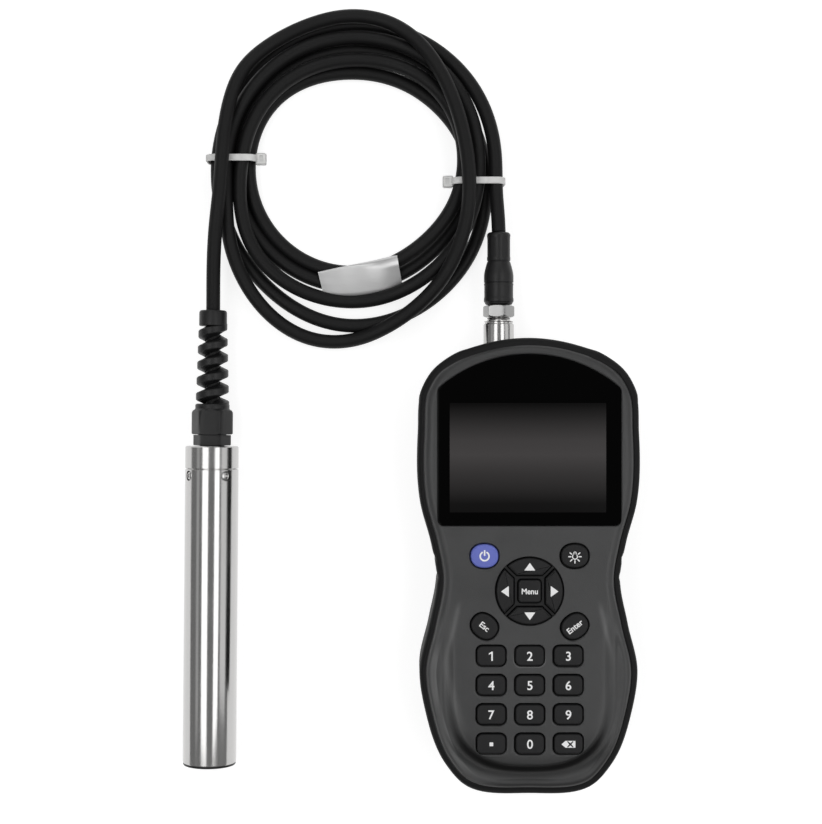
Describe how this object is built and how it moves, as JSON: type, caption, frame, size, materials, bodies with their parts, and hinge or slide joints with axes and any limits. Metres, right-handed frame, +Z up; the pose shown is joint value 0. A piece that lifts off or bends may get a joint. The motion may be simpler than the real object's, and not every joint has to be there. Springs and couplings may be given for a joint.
{
  "type": "water quality probe",
  "caption": "Steel water quality probe on a coiled black cable, plugged into a dark grey handheld meter with a black display window, a numeric keypad and a rubber bumper.",
  "frame": {"origin": "bottom centre of the footprint of the meter with its probe, on the surface that they lie on", "axes": "+X towards the meter, +Y towards the cable, +Z up out of the display"},
  "size_m": [0.2118, 0.3635, 0.0424],
  "materials": {
    "dark_grey_plastic": "fine moulded grain",
    "black_rubber": "matt",
    "key_rubber": "satin",
    "blue_key_rubber": "satin",
    "black_glass": "gloss",
    "display_dark": "gloss",
    "stainless_steel": "polished",
    "black_nylon": "satin",
    "cable_jacket": "satin",
    "natural_nylon": "translucent",
    "silver_foil": "metallic print",
    "circuit_board": "lacquered",
    "battery_wrap": "shrink wrap"
  },
  "bodies": {
    "meter": {"front_case": "dark_grey_plastic", "rear_case": "dark_grey_plastic", "bumper": "black_rubber", "case_seal": "black_rubber", "display_window": "black_glass", "lcd_panel": "display_dark", "main_board": "circuit_board", "keypad_mat": "black_rubber", "battery_pack": "battery_wrap", "battery_cover": "dark_grey_plastic", "battery_cover_screw": "stainless_steel", "case_screw_1": "stainless_steel", "case_screw_2": "stainless_steel", "case_screw_3": "stainless_steel", "case_screw_4": "stainless_steel", "probe_socket": "stainless_steel", "socket_insert": "black_nylon"},
    "power_button": {"power_key": "blue_key_rubber"},
    "light_button": {"light_key": "key_rubber"},
    "up_button": {"up_key": "key_rubber"},
    "down_button": {"down_key": "key_rubber"},
    "left_button": {"left_key": "key_rubber"},
    "right_button": {"right_key": "key_rubber"},
    "menu_button": {"menu_key": "key_rubber"},
    "escape_button": {"escape_key": "key_rubber"},
    "enter_button": {"enter_key": "key_rubber"},
    "digit_0_button": {"digit_0_key": "key_rubber"},
    "digit_1_button": {"digit_1_key": "key_rubber"},
    "digit_2_button": {"digit_2_key": "key_rubber"},
    "digit_3_button": {"digit_3_key": "key_rubber"},
    "digit_4_button": {"digit_4_key": "key_rubber"},
    "digit_5_button": {"digit_5_key": "key_rubber"},
    "digit_6_button": {"digit_6_key": "key_rubber"},
    "digit_7_button": {"digit_7_key": "key_rubber"},
    "digit_8_button": {"digit_8_key": "key_rubber"},
    "digit_9_button": {"digit_9_key": "key_rubber"},
    "point_button": {"point_key": "key_rubber"},
    "delete_button": {"delete_key": "key_rubber"},
    "probe_lead": {"plug_body": "black_nylon", "plug_insert": "black_nylon", "cable_lead_meter": "cable_jacket", "cable_coil": "cable_jacket", "cable_lead_probe": "cable_jacket", "left_cable_tie": "natural_nylon", "right_cable_tie": "natural_nylon", "cable_label": "silver_foil", "gland_nut": "black_nylon", "gland_body": "black_nylon", "gland_seal": "black_rubber", "probe_head": "stainless_steel", "head_o_ring": "black_rubber", "probe_tube": "stainless_steel", "probe_screw_1": "stainless_steel", "probe_screw_2": "stainless_steel", "probe_screw_3": "stainless_steel", "probe_screw_4": "stainless_steel", "sensor_window": "black_nylon", "sensor_board": "circuit_board"},
    "nut": {"coupling_nut": "stainless_steel"}
  },
  "joints": [
    {"name": "press_power", "type": "slide", "parent": "meter", "child": "power_button", "axis": [0, 0, -1], "range_m": [0, 0.0012], "stiffness_N_per_m": 600},
    {"name": "press_light", "type": "slide", "parent": "meter", "child": "light_button", "axis": [0, 0, -1], "range_m": [0, 0.0012], "stiffness_N_per_m": 600},
    {"name": "press_up", "type": "slide", "parent": "meter", "child": "up_button", "axis": [0, 0, -1], "range_m": [0, 0.0012], "stiffness_N_per_m": 600},
    {"name": "press_down", "type": "slide", "parent": "meter", "child": "down_button", "axis": [0, 0, -1], "range_m": [0, 0.0012], "stiffness_N_per_m": 600},
    {"name": "press_left", "type": "slide", "parent": "meter", "child": "left_button", "axis": [0, 0, -1], "range_m": [0, 0.0012], "stiffness_N_per_m": 600},
    {"name": "press_right", "type": "slide", "parent": "meter", "child": "right_button", "axis": [0, 0, -1], "range_m": [0, 0.0012], "stiffness_N_per_m": 600},
    {"name": "press_menu", "type": "slide", "parent": "meter", "child": "menu_button", "axis": [0, 0, -1], "range_m": [0, 0.0012], "stiffness_N_per_m": 600},
    {"name": "press_escape", "type": "slide", "parent": "meter", "child": "escape_button", "axis": [0, 0, -1], "range_m": [0, 0.0012], "stiffness_N_per_m": 600},
    {"name": "press_enter", "type": "slide", "parent": "meter", "child": "enter_button", "axis": [0, 0, -1], "range_m": [0, 0.0012], "stiffness_N_per_m": 600},
    {"name": "press_digit_0", "type": "slide", "parent": "meter", "child": "digit_0_button", "axis": [0, 0, -1], "range_m": [0, 0.0012], "stiffness_N_per_m": 600},
    {"name": "press_digit_1", "type": "slide", "parent": "meter", "child": "digit_1_button", "axis": [0, 0, -1], "range_m": [0, 0.0012], "stiffness_N_per_m": 600},
    {"name": "press_digit_2", "type": "slide", "parent": "meter", "child": "digit_2_button", "axis": [0, 0, -1], "range_m": [0, 0.0012], "stiffness_N_per_m": 600},
    {"name": "press_digit_3", "type": "slide", "parent": "meter", "child": "digit_3_button", "axis": [0, 0, -1], "range_m": [0, 0.0012], "stiffness_N_per_m": 600},
    {"name": "press_digit_4", "type": "slide", "parent": "meter", "child": "digit_4_button", "axis": [0, 0, -1], "range_m": [0, 0.0012], "stiffness_N_per_m": 600},
    {"name": "press_digit_5", "type": "slide", "parent": "meter", "child": "digit_5_button", "axis": [0, 0, -1], "range_m": [0, 0.0012], "stiffness_N_per_m": 600},
    {"name": "press_digit_6", "type": "slide", "parent": "meter", "child": "digit_6_button", "axis": [0, 0, -1], "range_m": [0, 0.0012], "stiffness_N_per_m": 600},
    {"name": "press_digit_7", "type": "slide", "parent": "meter", "child": "digit_7_button", "axis": [0, 0, -1], "range_m": [0, 0.0012], "stiffness_N_per_m": 600},
    {"name": "press_digit_8", "type": "slide", "parent": "meter", "child": "digit_8_button", "axis": [0, 0, -1], "range_m": [0, 0.0012], "stiffness_N_per_m": 600},
    {"name": "press_digit_9", "type": "slide", "parent": "meter", "child": "digit_9_button", "axis": [0, 0, -1], "range_m": [0, 0.0012], "stiffness_N_per_m": 600},
    {"name": "press_point", "type": "slide", "parent": "meter", "child": "point_button", "axis": [0, 0, -1], "range_m": [0, 0.0012], "stiffness_N_per_m": 600},
    {"name": "press_delete", "type": "slide", "parent": "meter", "child": "delete_button", "axis": [0, 0, -1], "range_m": [0, 0.0012], "stiffness_N_per_m": 600},
    {"name": "unplug", "type": "slide", "parent": "meter", "child": "probe_lead", "axis": [0, 1, 0], "range_m": [0, 0.012]},
    {"name": "turn_nut", "type": "hinge", "parent": "probe_lead", "child": "nut", "pos_m": [0.0424, 0.1104, 0.0155], "axis": [0, 1, 0], "continuous": true}
  ]
}
